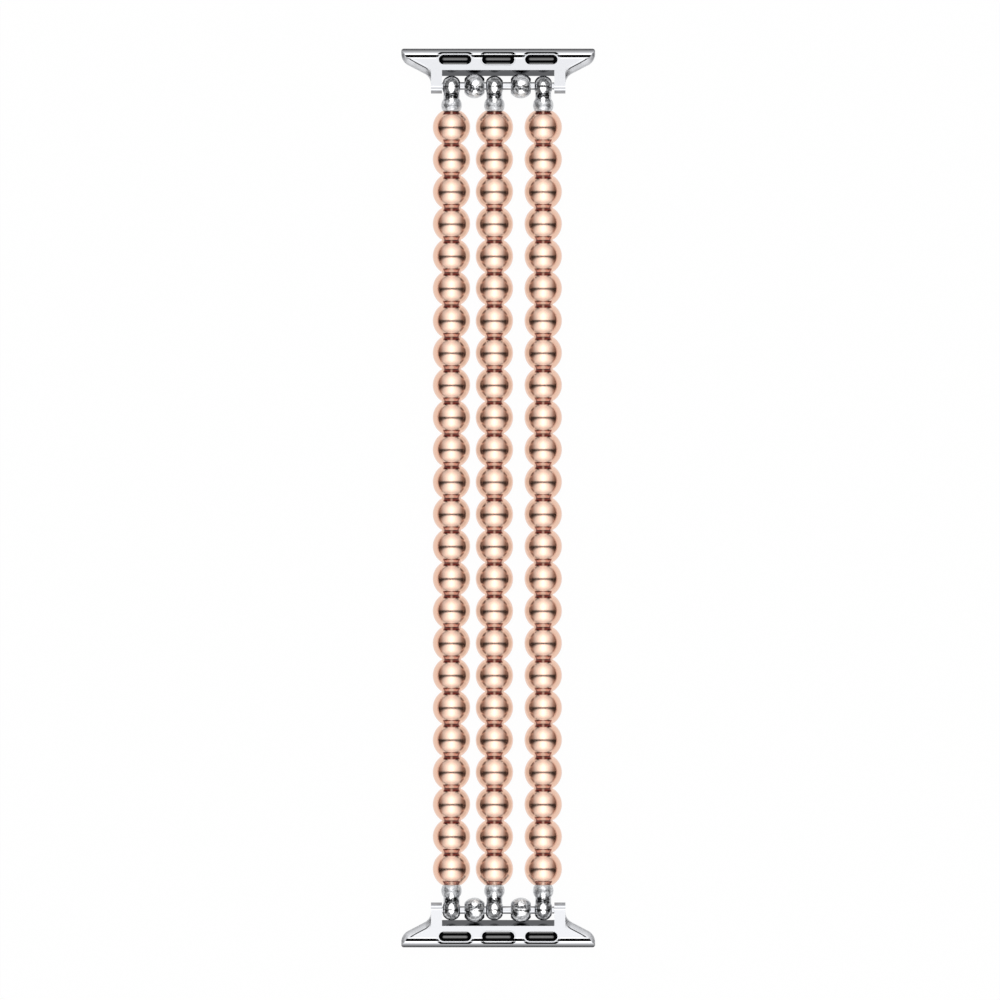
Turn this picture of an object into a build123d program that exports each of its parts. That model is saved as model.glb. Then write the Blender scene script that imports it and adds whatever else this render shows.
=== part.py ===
from build123d import *
from math import asin, atan2, cos, degrees, hypot, radians, sin, sqrt, tan
import os

# Bead watch band: three strands of mirror-polished beads, threaded on elastic cords
# that are crimped into end caps. The caps swing on a spring bar in a metal connector
# at each end, and the connector's ridge slides into a smart watch's band slot.
# The band lies flat with its wrist side up: X across, Y along, Z up, the floor at zero.
# All sizes are in millimetres.

# Beads, cut flat where they meet, and the gaps between the three strands
BEAD_D = 6.0
BEAD_FLAT_CUT = 0.42
BEAD_RIM_R = 0.08
BEAD_BORE_GAP = 0.3
BEAD_MOUTH = 0.2
ROW_COUNT = 24
CENTRE_STRAND_X = -0.61
STRAND_GAP_LEFT = 0.86
STRAND_GAP_RIGHT = 1.81

# Elastic cords and the crimp beads that hold their ends
CORD_D = 1.0
CORD_TAIL = 0.15
CRIMP_WALL = 0.22
CRIMP_LENGTH = 1.3
CRIMP_GAP = 0.03
CRIMP_SINK = 0.22

# End caps: a ring round the bar over a ball with a blind cup for the cord's end
CAP_BALL_D = 3.28
CAP_FACE_D = 2.74
CAP_WAIST = 0.36
CAP_NECK_FILLET = 0.35
CAP_RING_D = 3.32
CAP_RING_W = 2.72
CAP_RING_EDGE = 0.2
CAP_CUP_GAP = 0.08
CAP_TO_BAR = 4.0
CAP_SIDE_GAP = 0.17

# Spring bar
BAR_D = 1.25
BAR_WALL = 0.16
BAR_LIP = 0.3
BAR_LIP_GAP = 0.06
BAR_RUNNING_GAP = 0.05
TIP_PIN_D = 0.8
TIP_PIN_LENGTH = 0.95
TIP_POINT = 0.15
TIP_COLLAR_STEP = 0.05
TIP_COLLAR_W = 0.35
TIP_STEM_D = 0.55
TIP_HEAD_GAP = 0.035
TIP_HEAD_LENGTH = 0.8
TIP_GAP = 0.05
TIP_CLEAR = 0.1
SPRING_WIRE_D = 0.15
SPRING_GAP = 0.03

# Spacer balls between the end caps, each with a gap to one neighbour and play to the other
SPACER_D = 4.0
SPACER_PLAY = 0.94
SPACER_MOUTH = 0.12
SPACER_GAP_LEFT = 0.22
SPACER_GAP_RIGHT = 0.62

# Connector: arms, ridge and shoulders, with angles in degrees
LUG_W = 31.0
LUG_REACH = 5.97
ARM_W = 1.75
ARM_END_R = 0.91
ARM_END_BACK = 0.32
ARM_RISE = 0.05
ARM_HOLE_GAP = 0.05
RIDGE_R = 1.09
RIDGE_LIP = 0.15
CREST_LAND = 0.29
BROW_R = 0.9
BROW_TURN = 27
CROWN_TURN = 45
CORNER_R = 0.4
SHOULDER_DROP = 0.85
SHOULDER_R = 2.0
SHOULDER_SLOPE = 27.5
SHOULDER_NECK_R = 1.9
SHOULDER_BAND = 1.4
SHOULDER_STOP = 50
SHOULDER_SKIN = 0.02
SADDLE_R = 1.5
SADDLE_BACK = 0.36
SADDLE_RISE = 15
WING_ROOT = 1.5
RECESS_GAP = 0.22
RECESS_LEAN = 30.7

# Pads and latch on the connector's wrist side
PAD_L = 5.15
PAD_W = 1.6
PAD_SPACE = 1.75
PAD_INSET = 1.74
PAD_PROUD = 0.28
PAD_DEPTH = 0.6
PAD_CROWN_R = 1.2
PAD_GAP = 0.03
SCALLOP_RIM = 0.24
RIM_LAND = 0.3
RIM_LAND_DROP = 0.15
FRAME_RIM = 0.17
FRAME_DEPTH = 0.35
FRAME_GAP = 0.02
BUTTON_GAP = 0.03
BUTTON_FLANGE = 0.1
BUTTON_FLANGE_DEPTH = 0.3
BUTTON_TRAVEL = 0.4
LATCH_SPRING_D = 1.1
LATCH_SPRING_WALL = 0.2
LATCH_SPRING_SOLID = 0.25

# One overrun for every cut
OVER = 1.0

# Sizes and places worked out from the sizes above
AXIS_Z = BEAD_D / 2
BEAD_R = BEAD_D / 2
BEAD_PITCH = BEAD_D - 2 * BEAD_FLAT_CUT
BEAD_BORE_D = CORD_D + 2 * BEAD_BORE_GAP
STRAND_X = {
    "left": CENTRE_STRAND_X - BEAD_D - STRAND_GAP_LEFT,
    "centre": CENTRE_STRAND_X,
    "right": CENTRE_STRAND_X + BEAD_D + STRAND_GAP_RIGHT,
}
CRIMP_D = CORD_D + 2 * CRIMP_GAP + 2 * CRIMP_WALL
CAP_CUP_DEPTH = CRIMP_SINK + CRIMP_LENGTH + CORD_TAIL + CAP_CUP_GAP
CAP_NECK_D = CAP_BALL_D - 2 * CAP_WAIST
SPACER_W = BEAD_D + STRAND_GAP_LEFT - CAP_RING_W - SPACER_PLAY
SPACER_X = {
    "left": CENTRE_STRAND_X - CAP_RING_W / 2 - SPACER_GAP_LEFT - SPACER_W / 2,
    "right": STRAND_X["right"] - CAP_RING_W / 2 - SPACER_GAP_RIGHT - SPACER_W / 2,
}
ARM_GAP_W = CAP_RING_W + 2 * CAP_SIDE_GAP - 2 * STRAND_X["left"]
ARM_OUTER_W = ARM_GAP_W + 2 * ARM_W
ARM_HOLE_D = TIP_PIN_D + 2 * ARM_HOLE_GAP
BAR_BORE_D = BAR_D - 2 * BAR_WALL
TIP_HEAD_D = BAR_BORE_D - 2 * TIP_HEAD_GAP
TIP_COLLAR_D = BAR_D - 2 * TIP_COLLAR_STEP
TIP_TRAVEL = TIP_PIN_LENGTH - TIP_GAP + TIP_CLEAR
PAD_SPACING = PAD_L + PAD_SPACE
FIRST_ROW_Y = BEAD_PITCH * (ROW_COUNT - 1) / 2
BAND_FACE_Y = FIRST_ROW_Y + BEAD_PITCH / 2
BAR_Y = BAND_FACE_Y + CAP_TO_BAR
LUG_OUTER_Y = BAR_Y + LUG_REACH
HOLE_R = BAR_D / 2 + BAR_RUNNING_GAP
TUBE_HALF = ARM_GAP_W / 2 - TIP_GAP - TIP_COLLAR_W - TIP_TRAVEL - TIP_GAP
CUP_R = CRIMP_D / 2 + CAP_CUP_GAP
CAP_BALL_UP = sqrt((CAP_BALL_D / 2) ** 2 - (CAP_FACE_D / 2) ** 2)
RIDGE_Y = LUG_OUTER_Y - RIDGE_R
ARM_END_Y = BAR_Y - ARM_END_BACK
ARM_END_Z = AXIS_Z + ARM_RISE
PLANE_R = RIDGE_R - RIDGE_LIP
PLATE_RUN = RIDGE_Y - ARM_END_Y
PLATE_FALL = ARM_END_Z - RIDGE_R

# The wrist-side plane touches the round arm end and a circle inside the ridge
FACE_TURN = atan2(PLATE_FALL, PLATE_RUN) - asin((PLANE_R - ARM_END_R) / hypot(PLATE_RUN, PLATE_FALL))


def face_height(y):
    """The height of the wrist-side plane at y."""
    start_y = RIDGE_Y + PLANE_R * sin(FACE_TURN)
    start_z = RIDGE_R + PLANE_R * cos(FACE_TURN)
    return start_z + (start_y - y) * tan(FACE_TURN)


def face_reach(height):
    """Where the wrist-side plane has a height."""
    return RIDGE_Y + (face_height(RIDGE_Y) - height) / tan(FACE_TURN)


CREST_Z = 2 * RIDGE_R
CREST_Y = face_reach(CREST_Z)
PAD_Y = LUG_OUTER_Y - PAD_INSET
FACE = Plane(
    origin=(0, PAD_Y, face_height(PAD_Y)),
    x_dir=(1, 0, 0),
    z_dir=(0, sin(FACE_TURN), cos(FACE_TURN)),
)


def turned(points, axis, place=(0, 0, 0)):
    """A solid turned about an axis from an outline of (along, out) points."""
    plane = Plane.XY if axis == Axis.X else Plane.YX
    with BuildSketch(plane) as outline:
        with BuildLine():
            Polyline(*points, close=True)
        make_face()
    return Pos(*place) * revolve(outline.sketch, axis=axis)


def sleeve(length, outer, inner, axis, place=(0, 0, 0)):
    """A plain tube, centred on its place, with its two diameters."""
    half = length / 2
    points = [(-half, inner / 2), (half, inner / 2), (half, outer / 2), (-half, outer / 2)]
    return turned(points, axis, place)


# Beads and cords


def bead():
    """One bead: a ball cut flat where it meets its neighbours, and drilled along Y."""
    half = BEAD_PITCH / 2
    bore = BEAD_BORE_D / 2
    with BuildSketch(Plane.YX) as outline:
        Circle(BEAD_R)
        Rectangle(BEAD_PITCH, BEAD_D + OVER, mode=Mode.INTERSECT)
        fillet(outline.vertices(), BEAD_RIM_R)
        with BuildLine():
            Polyline(
                (-half, -BEAD_R),
                (half, -BEAD_R),
                (half, bore + BEAD_MOUTH),
                (half - BEAD_MOUTH, bore),
                (BEAD_MOUTH - half, bore),
                (-half, bore + BEAD_MOUTH),
                close=True,
            )
        make_face(mode=Mode.SUBTRACT)
    return revolve(outline.sketch, axis=Axis.Y)


def row_y(number):
    """Where a row lies along the band, counted from the top."""
    return FIRST_ROW_Y - BEAD_PITCH * (number - 1)


def bead_row(number):
    one = bead()
    return Compound(
        children=[Pos(x, row_y(number), AXIS_Z) * one for x in STRAND_X.values()]
    )


def cord_end():
    """How far from the middle a cord's end lies, just past its crimp bead."""
    return BAND_FACE_Y + CAP_CUP_DEPTH - CAP_CUP_GAP


def elastic_cord(strand):
    run = Cylinder(CORD_D / 2, 2 * cord_end(), rotation=(90, 0, 0))
    return Pos(STRAND_X[strand], 0, AXIS_Z) * run


# End caps, made for the top end


def cap_ring():
    """The ring round the bar: a fat, round-backed bead."""
    edge = HOLE_R + CAP_RING_EDGE
    half = CAP_RING_W / 2
    with BuildSketch(Plane.XY) as section:
        with BuildLine():
            crown = ThreePointArc((-half, edge), (0, CAP_RING_D / 2), (half, edge))
            Polyline(crown @ 1, (half, 0), (-half, 0), crown @ 0)
        make_face()
    return Pos(0, BAR_Y, 0) * revolve(section.sketch, axis=Axis.X)


def cap_ball():
    """The ball that sits on the first bead, with its neck up to the ring."""
    ball_y = BAND_FACE_Y + CAP_BALL_UP
    with BuildSketch(Plane.YX) as side:
        with Locations((ball_y, 0)):
            Circle(CAP_BALL_D / 2)
        with Locations(((ball_y + BAR_Y) / 2, 0)):
            Rectangle(BAR_Y - ball_y, CAP_NECK_D)
        waist = side.vertices().filter_by(lambda v: ball_y < v.X < BAR_Y - CAP_NECK_FILLET)
        fillet(waist, CAP_NECK_FILLET)
        with Locations((BAND_FACE_Y, 0)):
            Rectangle(
                CAP_BALL_D,
                2 * CAP_BALL_D,
                align=(Align.MAX, Align.CENTER),
                mode=Mode.SUBTRACT,
            )
        with Locations((ball_y, 0)):
            Rectangle(
                2 * (CAP_BALL_D + CAP_TO_BAR),
                CAP_BALL_D,
                align=(Align.CENTER, Align.MAX),
                mode=Mode.SUBTRACT,
            )
    return revolve(side.sketch, axis=Axis.Y)


def end_cap(strand):
    """One end cap, with its hole for the bar and its blind cup for the cord's end."""
    cap = cap_ring() + cap_ball()
    crease = cap.edges().filter_by(GeomType.BSPLINE)
    cap = fillet(crease, CAP_NECK_FILLET)
    cap -= Pos(0, BAR_Y, 0) * Cylinder(HOLE_R, CAP_RING_W + OVER, rotation=(0, 90, 0))
    cup = Cylinder(CUP_R, CAP_CUP_DEPTH, rotation=(90, 0, 0))
    cap -= Pos(0, BAND_FACE_Y + CAP_CUP_DEPTH / 2, 0) * cup
    return Pos(STRAND_X[strand], 0, AXIS_Z) * cap


def crimp_beads():
    """A crimp bead on each cord's end, inside the caps' cups."""
    y = cord_end() - CORD_TAIL - CRIMP_LENGTH / 2
    return Compound(
        children=[
            sleeve(CRIMP_LENGTH, CRIMP_D, CORD_D + 2 * CRIMP_GAP, Axis.Y, (x, y, AXIS_Z))
            for x in STRAND_X.values()
        ]
    )


# Spring bar and spacers, made for the top end


def tip_head_start():
    """How far from the bar's middle a tip's head begins."""
    return TUBE_HALF - BAR_LIP - TIP_GAP - TIP_HEAD_LENGTH


def bar_tube():
    """The bar's tube, its ends rolled in over the tips' heads."""
    lip = TIP_STEM_D / 2 + BAR_LIP_GAP
    inner = TUBE_HALF - BAR_LIP
    outer = BAR_D / 2
    bore = BAR_BORE_D / 2
    points = [
        (-TUBE_HALF, lip),
        (-inner, lip),
        (-inner, bore),
        (inner, bore),
        (inner, lip),
        (TUBE_HALF, lip),
        (TUBE_HALF, outer),
        (-TUBE_HALF, outer),
    ]
    return turned(points, Axis.X, (0, BAR_Y, AXIS_Z))


def bar_tip(side):
    """A sliding tip: pin in the arm's hole, collar, stem and a head inside the tube."""
    collar_end = ARM_GAP_W / 2 - TIP_GAP
    collar = collar_end - TIP_COLLAR_W
    head = tip_head_start()
    head_end = head + TIP_HEAD_LENGTH
    pin_end = collar_end + TIP_PIN_LENGTH
    points = [
        (head, 0),
        (head, TIP_HEAD_D / 2),
        (head_end, TIP_HEAD_D / 2),
        (head_end, TIP_STEM_D / 2),
        (collar, TIP_STEM_D / 2),
        (collar, TIP_COLLAR_D / 2),
        (collar_end, TIP_COLLAR_D / 2),
        (collar_end, TIP_PIN_D / 2),
        (pin_end - TIP_POINT, TIP_PIN_D / 2),
        (pin_end, TIP_PIN_D / 2 - TIP_POINT),
        (pin_end, 0),
    ]
    tip = turned(points, Axis.X)
    if side == "left":
        tip = mirror(tip, about=Plane.YZ)
    return Pos(0, BAR_Y, AXIS_Z) * tip


def bar_spring():
    """The hidden spring between the two tips' heads, as a sleeve of its coil's size."""
    outer = BAR_BORE_D - 2 * SPRING_GAP
    length = 2 * (tip_head_start() - SPRING_GAP)
    return sleeve(length, outer, outer - 2 * SPRING_WIRE_D, Axis.X, (0, BAR_Y, AXIS_Z))


def spacer(side):
    """A ball cut flat on both sides, drilled along X to run on the bar."""
    ball = Sphere(SPACER_D / 2) & Box(SPACER_W, SPACER_D, SPACER_D)
    half = SPACER_W / 2
    points = [
        (-half - OVER, 0),
        (-half - OVER, HOLE_R + SPACER_MOUTH + OVER),
        (-half + SPACER_MOUTH, HOLE_R),
        (half - SPACER_MOUTH, HOLE_R),
        (half + OVER, HOLE_R + SPACER_MOUTH + OVER),
        (half + OVER, 0),
    ]
    return Pos(SPACER_X[side], BAR_Y, AXIS_Z) * (ball - turned(points, Axis.X))


# Connector, made for the top end


def crown_section():
    """The ridge's upper side: a flat land along the crest, a brow and a long slope."""
    brow_turn = radians(BROW_TURN)
    crown_turn = radians(CROWN_TURN)
    slope_run = LUG_OUTER_Y - CREST_Y - CREST_LAND - BROW_R * sin(brow_turn)
    slope_r = slope_run / (sin(crown_turn) - sin(brow_turn))
    with BuildSketch(Plane.YZ) as crown:
        with BuildLine():
            land = Line((CREST_Y, CREST_Z), (CREST_Y + CREST_LAND, CREST_Z))
            brow = JernArc(land @ 1, land % 1, BROW_R, -BROW_TURN)
            slope = JernArc(brow @ 1, brow % 1, slope_r, BROW_TURN - CROWN_TURN)
            Polyline(slope @ 1, (LUG_OUTER_Y, RIDGE_R), (CREST_Y, RIDGE_R), land @ 0)
        make_face()
    return crown.sketch


def lug_section():
    """The connector's side profile: arm end, sloping plate and ridge."""
    with BuildSketch(Plane.YZ) as section:
        with Locations((ARM_END_Y, ARM_END_Z)):
            Circle(ARM_END_R)
        with Locations((RIDGE_Y, RIDGE_R)):
            Circle(PLANE_R)
        make_hull()
        with Locations((RIDGE_Y, RIDGE_R)):
            Circle(RIDGE_R)
    return section.sketch + crown_section()


def wing_outline(grow, outer_y):
    """One wing's outline, grown sideways: round shoulder, ramp and hollow neck."""
    slope = radians(SHOULDER_SLOPE)
    side = LUG_W / 2
    arm = ARM_OUTER_W / 2
    root = arm - WING_ROOT
    round_y = LUG_OUTER_Y - SHOULDER_DROP
    ramp_x = side - SHOULDER_R + SHOULDER_R * sin(slope)
    ramp_y = round_y - SHOULDER_R * cos(slope)
    neck_x = arm + SHOULDER_NECK_R - SHOULDER_NECK_R * sin(slope)
    neck_y = ramp_y - (ramp_x - neck_x) * tan(slope)
    aside = Vector(sin(slope), -cos(slope)) * grow
    with BuildSketch(Plane.XY) as outline:
        with BuildLine():
            edge = Line((side + grow, outer_y), (side + grow, round_y))
            shoulder = JernArc(edge @ 1, edge % 1, SHOULDER_R + grow, SHOULDER_SLOPE - 90)
            ramp = Line(shoulder @ 1, Vector(neck_x, neck_y) + aside)
            neck = JernArc(ramp @ 1, ramp % 1, SHOULDER_NECK_R - grow, 90 - SHOULDER_SLOPE)
            Polyline(neck @ 1, (root, (neck @ 1).Y), (root, outer_y), edge @ 0)
        make_face()
    return outline.sketch


def wing_block():
    """A block with one wing's true outline, its outer corner rounded."""
    outline = wing_outline(0, LUG_OUTER_Y)
    corner = outline.vertices().sort_by(Axis.Y)[-2:].sort_by(Axis.X)[-1]
    return extrude(fillet(corner, CORNER_R), amount=2 * AXIS_Z)


def saddle():
    """The roof over a wing: just over the plate, then up in a hollow clear of the ridge."""
    low_y = ARM_END_Y - ARM_END_R
    hollow_y = CREST_Y - SADDLE_BACK
    outer_y = LUG_OUTER_Y + OVER
    lift = SHOULDER_SKIN / cos(FACE_TURN)
    with BuildSketch(Plane.YZ) as side:
        with BuildLine():
            plate = Line(
                (low_y, face_height(low_y) + lift), (hollow_y, face_height(hollow_y) + lift)
            )
            hollow = JernArc(plate @ 1, plate % 1, SADDLE_R, degrees(FACE_TURN) + SADDLE_RISE)
            end = hollow @ 1
            rise = (outer_y - end.X) * tan(radians(SADDLE_RISE))
            Polyline(
                end, (outer_y, end.Y + rise), (outer_y, -OVER), (low_y, -OVER), plate @ 0
            )
        make_face()
    return extrude(side.sketch, amount=LUG_W)


def wing():
    """A wing whose upper edge is rounded by a wide band that stops at the outline."""
    grow = SHOULDER_BAND * (1 - sin(radians(SHOULDER_STOP)))
    block = extrude(wing_outline(grow, LUG_OUTER_Y + OVER), amount=2 * AXIS_Z) & saddle()
    rim = block.faces().sort_by(Axis.Z)[-3:].edges().filter_by(Axis.X, reverse=True)
    shoulder = [e for e in rim if e.center().X > ARM_OUTER_W / 2]
    return fillet(shoulder, SHOULDER_BAND) & wing_block()


def obround(length, width, depth):
    """A slot-shaped prism that hangs down from the XY plane."""
    with BuildSketch() as outline:
        SlotOverall(length, width)
    return extrude(outline.sketch, amount=-depth)


def on_face(x, height, solid):
    """A solid set on the connector's wrist-side plane, at a height over it."""
    return FACE * Pos(x, 0, height) * solid


def button_foot():
    """How deep the latch button's flange reaches under the face."""
    return FRAME_DEPTH + BUTTON_GAP + BUTTON_FLANGE_DEPTH


def latch_floor():
    """How deep the latch's pocket is under the face."""
    return button_foot() + BUTTON_TRAVEL + LATCH_SPRING_SOLID


def slot_cut(x, grow, above, depth):
    """The cutter for a slot round a pad, grown on every side."""
    cutter = obround(PAD_L + 2 * grow, PAD_W + 2 * grow, above + depth)
    return on_face(x, above, cutter)


def land_cut(x):
    """The cutter for the flat land where a scallop runs out into the ridge."""
    level = CREST_Z - RIM_LAND_DROP
    above = Box(
        PAD_SPACING, LUG_REACH, AXIS_Z, align=(Align.CENTER, Align.MIN, Align.MIN)
    )
    above = Pos(x, face_reach(level), level) * above
    return slot_cut(x, SCALLOP_RIM + RIM_LAND, OVER, 0) & above


def recess_cut():
    """The space between the arms, whose leaning wall stays clear of the spacers."""
    lean = radians(RECESS_LEAN)
    reach = SPACER_D / 2 + RECESS_GAP
    middle = Vector(BAR_Y + reach * cos(lean), AXIS_Z - reach * sin(lean))
    along = Vector(sin(lean), cos(lean)) * SPACER_D
    mouth_y = ARM_END_Y - ARM_END_R - OVER
    high, low = middle + along, middle - along
    with BuildSketch(Plane.YZ) as gap:
        with BuildLine():
            Polyline(
                (high.X, high.Y), (low.X, low.Y), (mouth_y, low.Y), (mouth_y, high.Y),
                close=True,
            )
        make_face()
    return extrude(gap.sketch, amount=ARM_GAP_W / 2, both=True)


def lug_body():
    """The connector: one milled piece with two arms, a recess and the pads' pockets."""
    section = lug_section()
    body = extrude(section, amount=ARM_OUTER_W / 2, both=True)
    strip = extrude(section, amount=LUG_W / 2 + OVER, both=True)
    right = strip & wing()
    body += right
    body += mirror(right, about=Plane.YZ)
    body -= recess_cut()
    hole = Cylinder(ARM_HOLE_D / 2, LUG_W, rotation=(0, 90, 0))
    body -= Pos(0, BAR_Y, AXIS_Z) * hole
    for place in (-PAD_SPACING, 0, PAD_SPACING):
        body -= slot_cut(place, SCALLOP_RIM, OVER, 0)
        body -= land_cut(place)
    for place in (-PAD_SPACING, PAD_SPACING):
        body -= slot_cut(place, PAD_GAP, OVER, PAD_DEPTH + PAD_GAP)
    body -= slot_cut(0, BUTTON_GAP + FRAME_RIM + FRAME_GAP, OVER, latch_floor())
    return body


def crowned_pad(depth):
    """A slot-shaped pad that reaches a depth under the face, with a softly round top."""
    half_run = (PAD_L - PAD_W) / 2
    crown = Cylinder(PAD_CROWN_R, 2 * half_run, rotation=(0, 90, 0))
    crown += Pos(half_run, 0, 0) * Sphere(PAD_CROWN_R)
    crown += Pos(-half_run, 0, 0) * Sphere(PAD_CROWN_R)
    stem = Pos(0, 0, PAD_PROUD) * obround(PAD_L, PAD_W, PAD_PROUD + depth)
    return stem & Pos(0, 0, PAD_PROUD - PAD_CROWN_R) * crown


def friction_pad(side):
    place = -PAD_SPACING if side == "left" else PAD_SPACING
    return on_face(place, 0, crowned_pad(PAD_DEPTH))


def latch_frame():
    """The thin frame pressed in round the latch button, flush with the face."""
    outer = 2 * (BUTTON_GAP + FRAME_RIM)
    inner = 2 * BUTTON_GAP
    frame = obround(PAD_L + outer, PAD_W + outer, FRAME_DEPTH)
    frame -= obround(PAD_L + inner, PAD_W + inner, FRAME_DEPTH)
    return on_face(0, 0, frame)


def latch_button():
    """The latch button: a crowned pad on a flange that the frame holds down."""
    wide = 2 * (BUTTON_GAP + BUTTON_FLANGE)
    flange = obround(PAD_L + wide, PAD_W + wide, BUTTON_FLANGE_DEPTH)
    flange = Pos(0, 0, BUTTON_FLANGE_DEPTH - button_foot()) * flange
    return on_face(0, 0, crowned_pad(button_foot()) + flange)


def latch_spring():
    """The hidden spring under the button, as a sleeve of its coil's size."""
    height = BUTTON_TRAVEL + LATCH_SPRING_SOLID - 2 * SPRING_GAP
    middle = -(button_foot() + latch_floor()) / 2
    spring = Cylinder(LATCH_SPRING_D / 2, height)
    spring -= Cylinder(LATCH_SPRING_D / 2 - LATCH_SPRING_WALL, height)
    return on_face(0, middle, spring)


def end_parts():
    """Every piece of the top end, by name."""
    parts = {"lug_body": lug_body()}
    for side in ("left", "right"):
        parts[f"friction_pad_{side}"] = friction_pad(side)
        parts[f"bar_tip_{side}"] = bar_tip(side)
        parts[f"spacer_{side}"] = spacer(side)
    for strand in STRAND_X:
        parts[f"end_cap_{strand}"] = end_cap(strand)
    parts["latch_button"] = latch_button()
    parts["latch_frame"] = latch_frame()
    parts["latch_spring"] = latch_spring()
    parts["bar_tube"] = bar_tube()
    parts["bar_spring"] = bar_spring()
    parts["crimp_beads"] = crimp_beads()
    return parts


def all_parts():
    """The whole band: rows, cords, and one end mirrored for the other."""
    parts = {f"bead_row_{n:02d}": bead_row(n) for n in range(1, ROW_COUNT + 1)}
    for strand in STRAND_X:
        parts[f"elastic_cord_{strand}"] = elastic_cord(strand)
    for name, solid in end_parts().items():
        parts[f"{name}_top"] = solid
        parts[f"{name}_bottom"] = mirror(solid, about=Plane.XZ)
    return parts


os.makedirs("parts", exist_ok=True)
for name, solid in all_parts().items():
    export_step(solid, f"parts/{name}.step")
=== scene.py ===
from math import atan2, cos, pi, sin, sqrt

import bpy
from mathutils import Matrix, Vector


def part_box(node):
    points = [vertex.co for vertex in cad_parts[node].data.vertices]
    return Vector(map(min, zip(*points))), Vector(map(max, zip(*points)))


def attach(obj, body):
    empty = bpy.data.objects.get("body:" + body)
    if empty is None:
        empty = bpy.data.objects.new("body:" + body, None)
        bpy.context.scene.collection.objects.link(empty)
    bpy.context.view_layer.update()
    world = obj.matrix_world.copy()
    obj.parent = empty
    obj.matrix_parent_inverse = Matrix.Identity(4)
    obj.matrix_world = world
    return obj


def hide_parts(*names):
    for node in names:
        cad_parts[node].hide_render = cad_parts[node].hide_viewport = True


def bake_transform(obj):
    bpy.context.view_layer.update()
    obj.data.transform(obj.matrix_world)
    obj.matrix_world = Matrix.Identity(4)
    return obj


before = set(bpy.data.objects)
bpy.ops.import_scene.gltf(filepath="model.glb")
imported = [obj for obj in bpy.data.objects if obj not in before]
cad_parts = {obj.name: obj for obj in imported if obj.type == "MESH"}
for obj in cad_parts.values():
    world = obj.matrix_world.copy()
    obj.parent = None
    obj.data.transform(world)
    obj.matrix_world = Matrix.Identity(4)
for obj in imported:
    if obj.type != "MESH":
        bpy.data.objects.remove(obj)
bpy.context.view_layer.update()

# Bead watch band: rose-gold beads on elastic cords, bright end caps and spacers on a spring
# bar, and a polished steel connector with black pads at each end. Metres, wrist side up.

MM = 0.001
ROWS = sorted(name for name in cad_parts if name.startswith("bead_row"))
STRANDS = ("left", "centre", "right")


def middle(node):
    """The middle of a node's box."""
    low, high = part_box(node)
    return (low + high) / 2


def across(node):
    """The three sides of a node's box."""
    low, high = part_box(node)
    return high - low


# Node and colour helpers


def linear(colour):
    """An sRGB hex colour as the linear RGBA that a shader takes."""
    parts = [int(colour[i : i + 2], 16) / 255 for i in (1, 3, 5)]
    return [c / 12.92 if c <= 0.04045 else ((c + 0.055) / 1.055) ** 2.4 for c in parts] + [1.0]


def add(tree, kind, inputs=None, **settings):
    """Adds a shader node with its settings. Each input is a value or another node's output."""
    node = tree.nodes.new("ShaderNode" + kind)
    for name, value in settings.items():
        setattr(node, name, value)
    for key, value in (inputs or {}).items():
        if isinstance(value, bpy.types.NodeSocket):
            tree.links.new(value, node.inputs[key])
        else:
            node.inputs[key].default_value = value
    return node


def finish_named(name):
    """A new material with an empty node tree and its output."""
    material = bpy.data.materials.new(name)
    material.use_nodes = True
    material.node_tree.nodes.clear()
    return material, material.node_tree


def close(tree, shader, bump=None):
    """Joins a shader to the material's output, with its bump if it has one."""
    if bump is not None:
        tree.links.new(bump.outputs["Normal"], shader.inputs["Normal"])
    add(tree, "OutputMaterial", {"Surface": shader.outputs[0]})


def grain(tree, size, detail=2.0, stretch=(1, 1, 1)):
    """Noise in object space whose grains are about size metres wide."""
    place = add(tree, "TexCoord").outputs["Object"]
    scaled = add(tree, "Mapping", {"Vector": place, "Scale": stretch}).outputs["Vector"]
    noise = add(tree, "TexNoise", {"Vector": scaled, "Scale": 1 / size, "Detail": detail})
    return noise.outputs["Fac"]


def spread(tree, fac, low, high):
    """A noise value stretched from its usual middle range to low and high."""
    fit = {"Value": fac, "From Min": 0.3, "From Max": 0.7, "To Min": low, "To Max": high}
    return add(tree, "MapRange", fit).outputs["Result"]


def axes_of(tree, kind):
    """The X, Y and Z of a texture coordinate, such as Object or Normal."""
    return add(tree, "SeparateXYZ", {0: add(tree, "TexCoord").outputs[kind]}).outputs


def ramp(tree, value, start, end, low=0.0, high=1.0):
    """A smooth step of a value from start to end."""
    fit = {"Value": value, "From Min": start, "From Max": end, "To Min": low, "To Max": high}
    return add(tree, "MapRange", fit, interpolation_type="SMOOTHSTEP").outputs["Result"]


def maths(tree, operation, *values):
    """One sum of numbers and outputs."""
    return add(tree, "Math", dict(enumerate(values)), operation=operation).outputs[0]


def joined(tree, operation, *values):
    """Several values joined by one operation, in their order."""
    total, *others = values
    for value in others:
        total = maths(tree, operation, total, value)
    return total


def product(tree, *values):
    """The product of several values."""
    return joined(tree, "MULTIPLY", *values)


def highest(tree, *values):
    """The highest of several values."""
    return joined(tree, "MAXIMUM", *values)


def apart(tree, value, place):
    """How far a value is from a place, either way."""
    return maths(tree, "ABSOLUTE", maths(tree, "SUBTRACT", value, place))


def band(tree, value, start, end, soft):
    """One where a value lies between start and end, with soft edges."""
    rise = ramp(tree, value, start - soft, start + soft)
    fall = ramp(tree, value, end - soft, end + soft, 1.0, 0.0)
    return product(tree, rise, fall)


SPOT_RIM = (0.75, 1.2)


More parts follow.
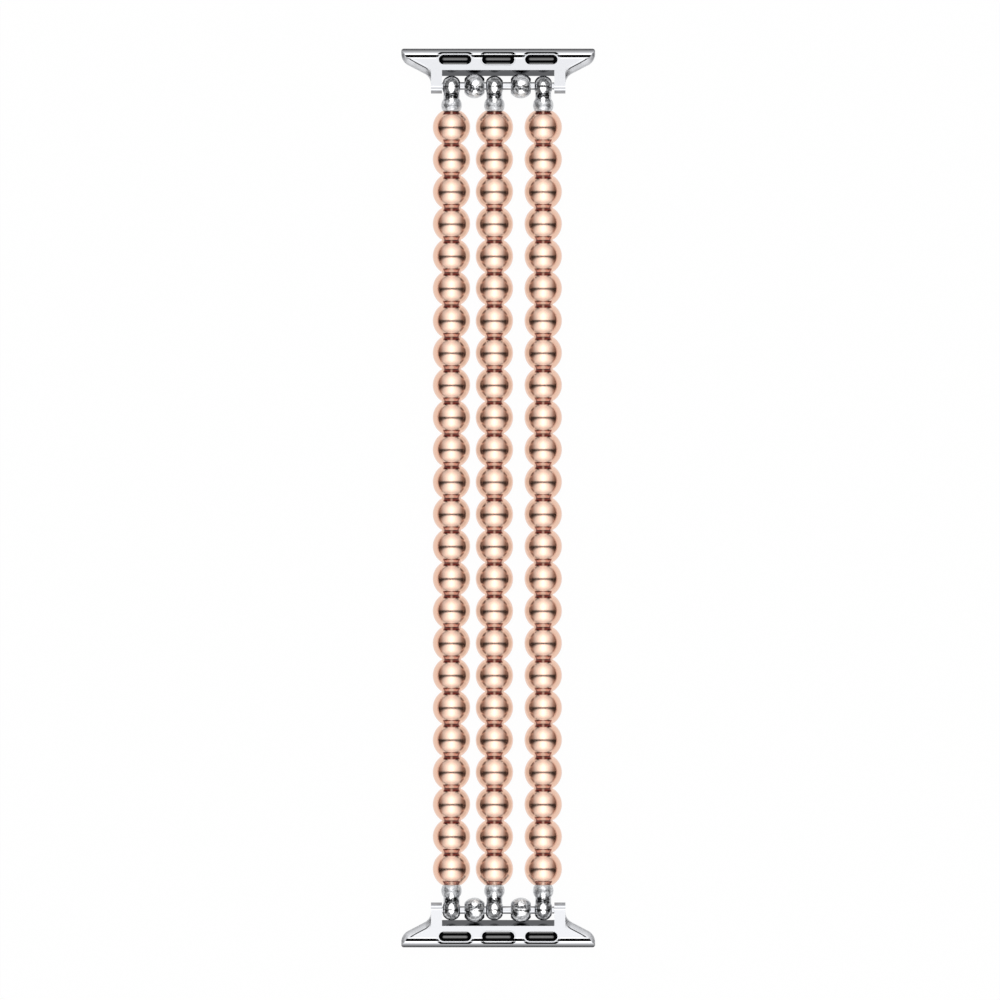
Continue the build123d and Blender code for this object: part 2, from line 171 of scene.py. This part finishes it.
def spot(tree, place, centre, size, uneven):
    """One inside an ellipse in millimetres across and along the band, with an uneven rim."""
    reach = uneven
    for value, middle_mm, half_mm in zip(place, centre, size):
        off = maths(tree, "SUBTRACT", value, middle_mm * MM)
        off = maths(tree, "DIVIDE", off, half_mm * MM)
        reach = maths(tree, "ADD", reach, product(tree, off, off))
    return ramp(tree, reach, *SPOT_RIM, 1.0, 0.0)


def mottled(tree, share, mottle, least, most):
    """A share that grows with the mottle, from least to most of itself."""
    return product(tree, share, maths(tree, "MULTIPLY_ADD", mottle, most - least, least))


def blend_values(tree, share, first, second):
    """The first value where the share is 0 and the second where it is 1."""
    return add(tree, "Mix", {0: share, 2: first, 3: second}).outputs[0]


def blend_colours(tree, share, first, second):
    """The first colour where the share is 0 and the second where it is 1."""
    mixed = add(tree, "Mix", {0: share, 6: first, 7: second}, data_type="RGBA")
    return mixed.outputs[2]


# Materials. Two numbers are where a share starts and ends. A third is its softness, and a
# third and fourth are its first and last value. Aside, up and turn are how far the surface
# faces across the band, up and along it, from 0 to 1.

BEAD_R = across(ROWS[0]).z / 2
STRAND_X = {side: middle(f"end_cap_{side}_top").x for side in STRANDS}
BAR_Y = middle("bar_tube_top").y

# Where two beads meet, along the band past their joint and out from the strand's middle:
# a painted reflection of the next bead, a rose pill in a brown ring, and painted shade in a
# dark line at the joint
JOINT_PAINTED_SHADE = (-0.14 * MM, 0.0, 0.03 * MM)
RING_BEFORE = (-0.54 * MM, -0.1 * MM, 0.13 * MM)
RING_AFTER = (0.46 * MM, 0.6 * MM, 0.04 * MM)
RING_SIDES = (-0.48 * MM, 0.55 * MM, 0.1 * MM)
RING_SIDES_OUT = (0.88 * MM, 1.1 * MM, 0.08 * MM)
RING_SIDES_SHARE = 0.75
PILL = (0.0, 0.5 * MM, 0.04 * MM)
PILL_ASIDE = (0.04, 0.2)
PATTERN_OUT = (0.98 * MM, 1.2 * MM)
PATTERN_WAIST = 0.5
PATTERN_UP = (0.15, 0.4)
PATTERN_CROWN = (0.0, 0.11, 0.45, 1.0)

# The rest of a bead: painted shade, a little darker below the top and redder on the
# upper flanks
TOP_UP = (0.62, 0.72)
FLANK_ASIDE = (0.4, 0.6)
FLANK_UP = (0.6, 0.72)

# A bead in another bead's mirror: a painted glow instead of its own colour, pale, with
# painted dark upper flanks
MIRROR_FROM = (0.02 * MM, 0.08 * MM)
MIRROR_PALE = 0.85
MIRROR_DARK_TURN = (-0.2, 0.2, 0.03, 0.17)
MIRROR_DARK_ASIDE = (0.28, 0.42)
MIRROR_DARK_UP = (0.47, 0.56)


def rose_gold_plate():
    """Brass ball plated with rose gold and mirror polished. Where two beads meet, the
    photograph shows a rose pill in a brown ring with a dark line at the joint. That pattern is
    painted on by its place: a painted reflection of the next bead, with painted shade in the
    line. The bead is also painted a little darker below its top and redder on its upper
    flanks, as painted shade. In a mirror, another bead shows a painted glow instead of its
    own colour, as pale as the table, with painted dark upper flanks."""
    material, tree = finish_named("rose_gold_plate_mirror_polished")
    pitch = across(ROWS[0]).y
    past_joint = maths(tree, "WRAP", axes_of(tree, "Object")["Y"], pitch / 2, -pitch / 2)
    facing = axes_of(tree, "Normal")
    aside = maths(tree, "ABSOLUTE", facing["X"])
    upward = facing["Z"]

    # The pattern is narrowest at the joint itself and faintest on the crown.
    widening = product(tree, maths(tree, "ABSOLUTE", past_joint), PATTERN_WAIST)
    out = maths(tree, "SUBTRACT", product(tree, aside, BEAD_R), widening)
    above = ramp(tree, upward, *PATTERN_UP)
    inside = product(tree, ramp(tree, out, *PATTERN_OUT, 1.0, 0.0), above)
    off_crown = product(tree, inside, ramp(tree, aside, *PATTERN_CROWN))
    # Painted shade: a dark line just before the joint.
    painted_joint_shade = product(tree, band(tree, past_joint, *JOINT_PAINTED_SHADE), off_crown)
    # Painted reflection of the next bead: a brown ring round a rose pill.
    before = product(tree, band(tree, past_joint, *RING_BEFORE), off_crown)
    after = product(tree, band(tree, past_joint, *RING_AFTER), off_crown)
    sides = product(tree, band(tree, out, *RING_SIDES_OUT), band(tree, past_joint, *RING_SIDES))
    sides = product(tree, sides, above, RING_SIDES_SHARE)
    ring = highest(tree, before, after, sides)
    pill = product(tree, band(tree, past_joint, *PILL), ramp(tree, aside, *PILL_ASIDE), inside)
    flank = product(tree, ramp(tree, aside, *FLANK_ASIDE), ramp(tree, upward, *FLANK_UP))

    # Painted glow: a glossy ray from further off sees the bead black, with a pale glow and
    # painted dark upper flanks, in place of its reflection.
    path = add(tree, "LightPath").outputs
    mirrored = product(tree, ramp(tree, path["Ray Length"], *MIRROR_FROM), path["Is Glossy Ray"])
    painted_dark_flank = product(
        tree, ramp(tree, aside, *MIRROR_DARK_ASIDE), ramp(tree, upward, *MIRROR_DARK_UP)
    )
    shade = ramp(tree, facing["Y"], *MIRROR_DARK_TURN)
    glow = blend_values(tree, painted_dark_flank, MIRROR_PALE, shade)

    # Painted shade: the bead is painted lighter on top and redder on its upper flanks.
    top = ramp(tree, upward, *TOP_UP)
    colour = blend_colours(tree, top, linear("#ECC4AE"), linear("#F3CDB9"))
    colour = blend_colours(tree, flank, colour, linear("#EAAB90"))
    # The painted reflection and the painted shade of the joint go over the bead's colour.
    colour = blend_colours(tree, pill, colour, linear("#DE9A84"))
    colour = blend_colours(tree, ring, colour, linear("#74261C"))
    colour = blend_colours(tree, painted_joint_shade, colour, linear("#3A0C09"))
    metal = add(
        tree,
        "BsdfPrincipled",
        {
            "Base Color": blend_colours(tree, mirrored, colour, linear("#000000")),
            "Metallic": 1.0,
            "Roughness": spread(tree, grain(tree, 0.35 * MM), 0.15, 0.2),
            "Emission Color": linear("#FFFAF6"),
            "Emission Strength": product(tree, mirrored, glow),
        },
    )
    tumbled = grain(tree, 0.9 * MM)
    wave = add(tree, "Bump", {"Height": tumbled, "Strength": 0.05, "Distance": 0.02 * MM})
    close(tree, metal, wave)
    return material


# The connector, across from the band's middle and along from the spring bar outwards, with
# the places of its painted shade, painted highlights and painted dark reflections
BETWEEN_ARMS = (8.9 * MM, 9.1 * MM)
RECESS_SHADE_UP = (0.35, 0.62, 0.04)
ARM_TIPS = (-0.72 * MM, -0.47 * MM)
CREST_LINE = (4.57 * MM, 5.01 * MM, 0.03 * MM)
CREST_EDGES = (4.42 * MM, 5.12 * MM, 0.04 * MM)
CREST_ASIDE = (0.02, 0.08)
CREST_UP = (0.9, 0.93)
FLAT_UP = (0.9975, 0.9988)
PAD_RIM = 0.45 * MM
PAD_RIM_SOFT = 0.1 * MM
RIDGE_ALONG = (5.03 * MM, 6.03 * MM, 0.0, 0.88)
RIDGE_UP = (0.5, 0.6)
SATIN_ASIDE = (0.2, 0.4)
SATIN_ROUGHNESS = 0.34
FACE_UP = (0.92, 0.955, 0.006)
FACE_ROUGHNESS = 0.36


def polished_steel():
    """Stainless steel, cut by milling and buffed along its length: a cool grey mirror, faintly
    lined. A black line along the crest and black on its flat top are a painted dark
    reflection, with painted highlights on the line's edges, and the ridge beyond is painted
    shade, as the photograph shows them. The flanks and the leaning face are satin, and the
    flanks are painted a lighter grey as painted light. The arm tips and the wall between the
    arms are painted darker, as painted shade."""
    material, tree = finish_named("stainless_steel_buffed")
    place = axes_of(tree, "Object")
    facing = axes_of(tree, "Normal")
    upward = facing["Z"]
    aside = maths(tree, "ABSOLUTE", facing["X"])
    from_bar = maths(tree, "SUBTRACT", maths(tree, "ABSOLUTE", place["Y"]), BAR_Y)

    # Painted shade: the leaning wall between the arms is painted dark grey.
    between = ramp(tree, maths(tree, "ABSOLUTE", place["X"]), *BETWEEN_ARMS, 1.0, 0.0)
    painted_recess_shade = product(tree, between, band(tree, upward, *RECESS_SHADE_UP))
    open_crest = product(
        tree, ramp(tree, upward, *CREST_UP), ramp(tree, aside, *CREST_ASIDE, 1.0, 0.0)
    )
    for side in ("left", "right"):
        pad = f"friction_pad_{side}_top"
        rim = across(pad).x / 2 + PAD_RIM
        from_pad = apart(tree, place["X"], middle(pad).x)
        clear = ramp(tree, from_pad, rim - PAD_RIM_SOFT, rim + PAD_RIM_SOFT)
        open_crest = product(tree, open_crest, clear)
    # Painted dark reflection: a black line along the crest, clear of the pads, and black
    # wherever the steel faces straight up. Painted highlights on the line's two edges.
    line = product(tree, band(tree, from_bar, *CREST_LINE), open_crest)
    black = highest(tree, line, ramp(tree, upward, *FLAT_UP))
    edges = product(tree, band(tree, from_bar, *CREST_EDGES), open_crest)
    # Painted shade: the ridge beyond the crest, where it faces up, is painted near black.
    ridge = product(tree, ramp(tree, from_bar, *RIDGE_ALONG), ramp(tree, upward, *RIDGE_UP))
    # Painted shade: the arm tips nearest the beads are painted a darker grey.
    tips = ramp(tree, from_bar, *ARM_TIPS, 1.0, 0.0)
    # Painted light: the flanks, facing sideways, are painted a lighter grey. They are also
    # satin.
    satin = ramp(tree, aside, *SATIN_ASIDE)
    face = band(tree, upward, *FACE_UP)

    colour = blend_colours(tree, satin, linear("#C4C5C8"), linear("#D4D5D8"))
    colour = blend_colours(tree, edges, colour, linear("#E4E5E7"))
    colour = blend_colours(tree, tips, colour, linear("#A2A3A6"))
    colour = blend_colours(tree, ridge, colour, linear("#2A2B2D"))
    colour = blend_colours(tree, painted_recess_shade, colour, linear("#57585B"))
    lines = grain(tree, 0.06 * MM, stretch=(0.04, 1, 1))
    buffed = blend_values(tree, face, spread(tree, lines, 0.03, 0.06), FACE_ROUGHNESS)
    metal = add(
        tree,
        "BsdfPrincipled",
        {
            "Base Color": blend_colours(tree, black, colour, linear("#000000")),
            "Metallic": 1.0,
            "Roughness": blend_values(tree, satin, buffed, SATIN_ROUGHNESS),
        },
    )
    buffing = add(tree, "Bump", {"Height": lines, "Strength": 0.03, "Distance": 0.002 * MM})
    close(tree, metal, buffing)
    return material


# Places of painted highlights and painted shade on the caps and spacers: the middle and the
# half size of each, in millimetres, across from the piece's middle and along from the spring
# bar outwards
CAP_RING_LIGHT = (0, -0.22), (0.48, 0.85)
CAP_BALL_LIGHT = (0, -2.17), (0.34, 0.55)
CAP_SHELL = (0, -0.62), (1.16, 2.05)
CAP_WAIST = (0, -1.42), (1.1, 0.75)
SPACER_LIGHT = (0.35, 0.33), (0.66, 0.55)
SPACER_LOW_LIGHT = (0.1, -1.07), (0.5, 0.45)
SPACER_SIDE = (-0.95, 0.58), (0.5, 0.5)
SPACER_FOOT = (0, -0.67), (1.05, 0.5)
CAP_BALL_DULL = (-2.62 * MM, -1.92 * MM, 0.22, 0.0)
MOTTLE = (0.42, 0.56)


def rhodium_findings():
    """Cast findings with bright rhodium plate: a hard white mirror, bumpy because the casting
    was tumbled rather than lapped. The light places on the crowns are painted highlights, and
    the dark, mottled ones round them are painted shade and painted dark reflections, as the
    photograph shows them."""
    material, tree = finish_named("rhodium_plate_tumbled")
    place = axes_of(tree, "Object")
    from_bar = maths(tree, "SUBTRACT", maths(tree, "ABSOLUTE", place["Y"]), BAR_Y)
    uneven = spread(tree, grain(tree, 0.45 * MM), -0.45, 0.45)
    mottle = ramp(tree, grain(tree, 0.3 * MM, detail=1.0), *MOTTLE)

    from_strands = [apart(tree, place["X"], x) for x in STRAND_X.values()]
    cap = (joined(tree, "MINIMUM", *from_strands), from_bar)
    # Painted highlights on the caps' ring and ball, and painted shade in a shell and a waist
    # round them.
    light = highest(
        tree,
        spot(tree, cap, *CAP_RING_LIGHT, product(tree, uneven, 0.3)),
        spot(tree, cap, *CAP_BALL_LIGHT, uneven),
    )
    shell = spot(tree, cap, *CAP_SHELL, product(tree, uneven, 0.4))
    waist = spot(tree, cap, *CAP_WAIST, uneven)
    dark = highest(
        tree, mottled(tree, shell, mottle, 0.5, 0.75), mottled(tree, waist, mottle, 0.5, 1.0)
    )

    # On the spacers: painted shade at one side and at the foot, and painted highlights on the
    # crown and lower down.
    for side in ("left", "right"):
        x = maths(tree, "SUBTRACT", place["X"], middle(f"spacer_{side}_top").x)
        spacer = (x, from_bar)
        shadow = highest(
            tree,
            spot(tree, spacer, *SPACER_SIDE, uneven),
            spot(tree, spacer, *SPACER_FOOT, uneven),
        )
        dark = highest(tree, dark, mottled(tree, shadow, mottle, 0.6, 1.0))
        light = highest(
            tree,
            light,
            spot(tree, spacer, *SPACER_LIGHT, product(tree, uneven, 0.4)),
            spot(tree, spacer, *SPACER_LOW_LIGHT, uneven),
        )

    # The plate's tone differs at random with the mottle. The painted shade and painted
    # highlights go over it.
    plate = blend_colours(tree, product(tree, mottle, 0.5), linear("#D2D3D5"), linear("#98999C"))
    plate = blend_colours(tree, dark, plate, linear("#2B2C2E"))
    polish = spread(tree, grain(tree, 0.3 * MM), 0.06, 0.12)
    metal = add(
        tree,
        "BsdfPrincipled",
        {
            "Base Color": blend_colours(tree, light, plate, linear("#FFFFFF")),
            "Metallic": 1.0,
            "Roughness": maths(tree, "ADD", ramp(tree, from_bar, *CAP_BALL_DULL), polish),
        },
    )
    cast = grain(tree, 0.6 * MM, detail=1.0)
    tumbled = add(tree, "Bump", {"Height": cast, "Strength": 0.5, "Distance": 0.2 * MM})
    close(tree, metal, tumbled)
    return material


PAD_LEAN = 0.355
PAD_CROWN = (0.972, 0.9995, 0.0, 0.62)


def moulded_pad():
    """Black moulded pads: dull and deep black on their flanks, with a painted sheen along the
    crown, which leans with the connector's face."""
    material, tree = finish_named("black_moulded_pad")
    facing = axes_of(tree, "Normal")
    outward = maths(tree, "ABSOLUTE", facing["Y"])
    lean = product(tree, outward, sin(PAD_LEAN))
    crown = maths(tree, "MULTIPLY_ADD", facing["Z"], cos(PAD_LEAN), lean)
    skin = grain(tree, 0.12 * MM)
    pad = add(
        tree,
        "BsdfPrincipled",
        {
            "Base Color": linear("#060607"),
            "IOR": 1.9,
            # Painted sheen: the specular level is raised only where the pad faces along its
            # leaning crown.
            "Specular IOR Level": ramp(tree, crown, *PAD_CROWN),
            "Roughness": spread(tree, skin, 0.22, 0.3),
        },
    )
    peel = add(tree, "Bump", {"Height": skin, "Strength": 0.08, "Distance": 0.01 * MM})
    close(tree, pad, peel)
    return material


def clear_elastic():
    """Stretch cord of clear polyurethane: milky where it is thick, with a soft shine."""
    material, tree = finish_named("clear_polyurethane_cord")
    cloud = grain(tree, 0.4 * MM)
    cord = add(
        tree,
        "BsdfPrincipled",
        {
            "Base Color": linear("#ECE6DC"),
            "Roughness": spread(tree, cloud, 0.28, 0.4),
            "Subsurface Weight": 0.4,
            "Subsurface Radius": (0.5 * MM, 0.4 * MM, 0.3 * MM),
            "Subsurface Scale": 1.0,
        },
    )
    close(tree, cord)
    return material


def spring_steel():
    """Drawn spring wire: grey steel with a satin skin from the die."""
    material, tree = finish_named("drawn_spring_wire")
    drawn = grain(tree, 0.05 * MM, stretch=(0.1, 1, 1))
    metal = add(
        tree,
        "BsdfPrincipled",
        {
            "Base Color": linear("#A9ABAD"),
            "Metallic": 1.0,
            "Roughness": spread(tree, drawn, 0.22, 0.34),
        },
    )
    close(tree, metal)
    return material


def crimp_silver():
    """Silver-plated crimp, squeezed with pliers: bright and a little dented."""
    material, tree = finish_named("silver_plated_crimp")
    dents = grain(tree, 0.5 * MM)
    metal = add(
        tree,
        "BsdfPrincipled",
        {
            "Base Color": linear("#D6D3CC"),
            "Metallic": 1.0,
            "Roughness": spread(tree, dents, 0.15, 0.28),
        },
    )
    squeezed = add(tree, "Bump", {"Height": dents, "Strength": 0.3, "Distance": 0.05 * MM})
    close(tree, metal, squeezed)
    return material


FINISHES = {
    "rose_gold": rose_gold_plate(),
    "polished_steel": polished_steel(),
    "polished_findings": rhodium_findings(),
    "black_pad": moulded_pad(),
    "elastic_cord": clear_elastic(),
    "spring_steel": spring_steel(),
    "crimp_metal": crimp_silver(),
}


def dress_cad():
    """Gives every CAD node the finish of its material slot."""
    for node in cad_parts.values():
        for slot in node.material_slots:
            slot.material = FINISHES[slot.material.name.split(".")[0]]


# Turned meshes


def arc(centre, radius, start, end, steps):
    """Points (along, out) on an arc, from angle start to end, both ends included."""
    turn = (end - start) / steps
    return [
        (centre[0] + radius * cos(start + turn * i), centre[1] + radius * sin(start + turn * i))
        for i in range(steps + 1)
    ]


def turned(name, outline, places, around, finish):
    """One mesh of a closed outline turned about Y at each of the places."""
    points, faces = [], []
    count = len(outline)
    for place in places:
        first = len(points)
        for i in range(around):
            angle = 2 * pi * i / around
            points += [
                place + Vector((out * sin(angle), along, out * cos(angle)))
                for along, out in outline
            ]
        for i in range(around):
            ring, after = first + i * count, first + (i + 1) % around * count
            for j in range(count):
                k = (j + 1) % count
                faces.append((ring + j, ring + k, after + k, after + j))
    mesh = bpy.data.meshes.new(name)
    mesh.from_pydata(points, [], faces)
    mesh.polygons.foreach_set("use_smooth", [True] * len(faces))
    mesh.set_sharp_from_angle(angle=pi / 6)
    mesh.materials.append(FINISHES[finish])
    mesh.update()
    piece = bpy.data.objects.new(name, mesh)
    bpy.context.scene.collection.objects.link(piece)
    return piece


# Beads

BEAD_HALF = across(ROWS[0]).y / 2
BEAD_RIM_R = 0.08 * MM
BEAD_BORE_R = 0.8 * MM
BEAD_MOUTH = 0.2 * MM
BEAD_STEPS = 36
RIM_STEPS = 3
BEAD_AROUND = 64


def bead_outline():
    """A bead's outline: ball, rim, flat, mouth and bore, as (along, out) points."""
    inner = BEAD_R - BEAD_RIM_R
    rim_along = BEAD_HALF - BEAD_RIM_R
    rim_out = sqrt(inner**2 - rim_along**2)
    edge = atan2(rim_out, rim_along)
    ball = arc((0, 0), BEAD_R, pi - edge, edge, BEAD_STEPS)
    near = arc((rim_along, rim_out), BEAD_RIM_R, edge, 0, RIM_STEPS)[1:]
    far = [(-along, out) for along, out in reversed(near)]
    bore = [
        (BEAD_HALF, BEAD_BORE_R + BEAD_MOUTH),
        (BEAD_HALF - BEAD_MOUTH, BEAD_BORE_R),
        (BEAD_MOUTH - BEAD_HALF, BEAD_BORE_R),
        (-BEAD_HALF, BEAD_BORE_R + BEAD_MOUTH),
    ]
    return far + ball + near + bore


def make_beads():
    """The rows of beads, each riding on its own body."""
    outline = bead_outline()
    for row in ROWS:
        centre = middle(row)
        places = [Vector((x, centre.y, centre.z)) for x in STRAND_X.values()]
        number = row.split("_")[-1]
        beads = turned(f"polished_beads_{number}", outline, places, BEAD_AROUND, "rose_gold")
        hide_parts(row)
        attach(beads, f"row_{number}")


# Elastic cords, in stretches from the middle of one bead to the middle of the next

CORD_R = across("elastic_cord_left").x / 2
CORD_CORE_R = CORD_R / 8
CORD_STEPS = 12
CORD_AROUND = 16
CORDS = [f"elastic_cord_{side}" for side in STRANDS]


def cord_stretch(name, start, end):
    """The three cords between two places along the band."""
    half = (end - start) / 2
    along = [half * (2 * i / CORD_STEPS - 1) for i in range(CORD_STEPS + 1)]
    outline = [(y, CORD_R) for y in along] + [(y, CORD_CORE_R) for y in reversed(along)]
    height = middle(CORDS[0]).z
    places = [Vector((x, start + half, height)) for x in STRAND_X.values()]
    piece = turned(name, outline, places, CORD_AROUND, "elastic_cord")
    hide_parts(*CORDS)
    return piece


def make_cords():
    """One straight stretch of cord for each joint, baked in place and not attached to the bodies
    that it joins.
    """
    low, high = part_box(CORDS[0])
    stops = [high.y] + [middle(row).y for row in ROWS] + [low.y]
    joints = [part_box(row)[1].y for row in ROWS] + [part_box(ROWS[-1])[0].y]
    for i, joint in enumerate(joints):
        piece = cord_stretch(f"cord_stretch_{i:02d}", stops[i + 1], stops[i])
        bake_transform(piece)


# Studio. In the room's light, aside, away, toward and up are the parts of the direction that
# a mirror looks in: across the band, along it to its far and near end, and up.

BOX_LEVEL = 1.95
WALL_GLOW = 0.18
ROOM_GLOW = 0.03
FAR_START = (0.02, 0.11)
FAR_FADE = (0.5, 1.05, 1.0, 0.45)
NEAR_START = (6.0, 0.1, 0.07)
NEAR_FULL = (5.0, 0.6, 0.21)
NEAR_FADE = (0.65, 1.05, 1.0, 0.35)
SKIRTING_UP = (0.0, 0.22, 0.4, 1.0)


def bowed(tree, value, power, bow, least):
    """A place that is least in the middle and further off towards the sides."""
    return maths(tree, "MULTIPLY_ADD", maths(tree, "POWER", value, power), bow, least)


def make_world():
    """Two long softboxes overhead, one each side of a dark slit that runs across the band.
    They are brightest over the middle and fade towards the walls, and the near one starts
    further from the slit at its ends. The room itself glows faintly, also in the slit."""
    world = bpy.data.worlds.new("studio")
    bpy.context.scene.world = world
    world.use_nodes = True
    tree = world.node_tree
    tree.nodes.clear()
    axes = axes_of(tree, "Generated")
    aside = maths(tree, "ABSOLUTE", axes["X"])
    away = axes["Y"]
    toward = maths(tree, "MULTIPLY", away, -1.0)
    far = product(tree, ramp(tree, away, *FAR_START), ramp(tree, away, *FAR_FADE))
    start, full = bowed(tree, aside, *NEAR_START), bowed(tree, aside, *NEAR_FULL)
    near = product(tree, ramp(tree, toward, start, full), ramp(tree, toward, *NEAR_FADE))
    over_middle = highest(tree, maths(tree, "SUBTRACT", 1.0, aside), 0.0)
    level = maths(tree, "MULTIPLY_ADD", over_middle, BOX_LEVEL, WALL_GLOW)
    skirting = ramp(tree, axes["Z"], *SKIRTING_UP)
    light = product(tree, maths(tree, "ADD", far, near), level, skirting)
    light = maths(tree, "ADD", light, ROOM_GLOW)
    studio = add(tree, "Background", {"Color": (1, 1, 1, 1), "Strength": light})
    plain = add(tree, "Background", {"Color": (1, 1, 1, 1), "Strength": 1.0})
    seen = add(tree, "LightPath").outputs["Is Camera Ray"]
    both = add(tree, "MixShader", {0: seen, 1: studio.outputs[0], 2: plain.outputs[0]})
    add(tree, "OutputWorld", {"Surface": both.outputs[0]})


FLOOR_SIZE = 3.0
FLOOR_SHADE = 0.02
TABLE_REACH = 28 * MM
TABLE_EDGE = 0.2
TABLE_BEYOND = 0.1


def white_table():
    """Matt white table. To the eye it is as bright as the backdrop, with a faint shadow under
    the band. A mirror sees it glow, bright near the band and dim further off by the ray's
    length: a painted pool of light."""
    material, tree = finish_named("matt_white_table")
    paint = add(tree, "BsdfDiffuse", {"Color": linear("#E8E8E8")})
    bright = add(tree, "Emission", {"Color": (1, 1, 1, 1), "Strength": 1.0})
    path = add(tree, "LightPath").outputs
    # Painted pool of light: for mirror rays the table glows by the ray's length, bright within
    # the reach and dim beyond.
    near, beyond = (1 - TABLE_EDGE) * TABLE_REACH, (1 + TABLE_EDGE) * TABLE_REACH
    mirror_glow = ramp(tree, path["Ray Length"], near, beyond, 1.0, TABLE_BEYOND)
    seen = maths(tree, "ADD", path["Is Camera Ray"], product(tree, path["Is Glossy Ray"], mirror_glow))
    share = product(tree, seen, 1 - FLOOR_SHADE)
    both = add(tree, "MixShader", {0: share, 1: paint.outputs[0], 2: bright.outputs[0]})
    add(tree, "OutputMaterial", {"Surface": both.outputs[0]})
    return material


def make_floor():
    """The table's top, on the floor of the frame."""
    half = FLOOR_SIZE / 2
    mesh = bpy.data.meshes.new("table")
    corners = [(-half, -half, 0), (half, -half, 0), (half, half, 0), (-half, half, 0)]
    mesh.from_pydata(corners, [], [(0, 1, 2, 3)])
    mesh.materials.append(white_table())
    floor = bpy.data.objects.new("table", mesh)
    bpy.context.scene.collection.objects.link(floor)


VIEW_WIDTH = 160 * MM
VIEW_MIDDLE = (0.29 * MM, -0.32 * MM)
VIEW_HEIGHT = 0.5


def make_camera():
    """Straight down on the band, in a parallel view."""
    lens = bpy.data.cameras.new("camera")
    lens.type = "ORTHO"
    lens.ortho_scale = VIEW_WIDTH
    lens.clip_start = 1 * MM
    lens.clip_end = 10.0
    camera = bpy.data.objects.new("camera", lens)
    camera.location = (*VIEW_MIDDLE, VIEW_HEIGHT)
    bpy.context.scene.collection.objects.link(camera)
    bpy.context.scene.camera = camera


dress_cad()
make_beads()
make_cords()
make_world()
make_floor()
make_camera()
bpy.context.scene.view_settings.view_transform = "Standard"
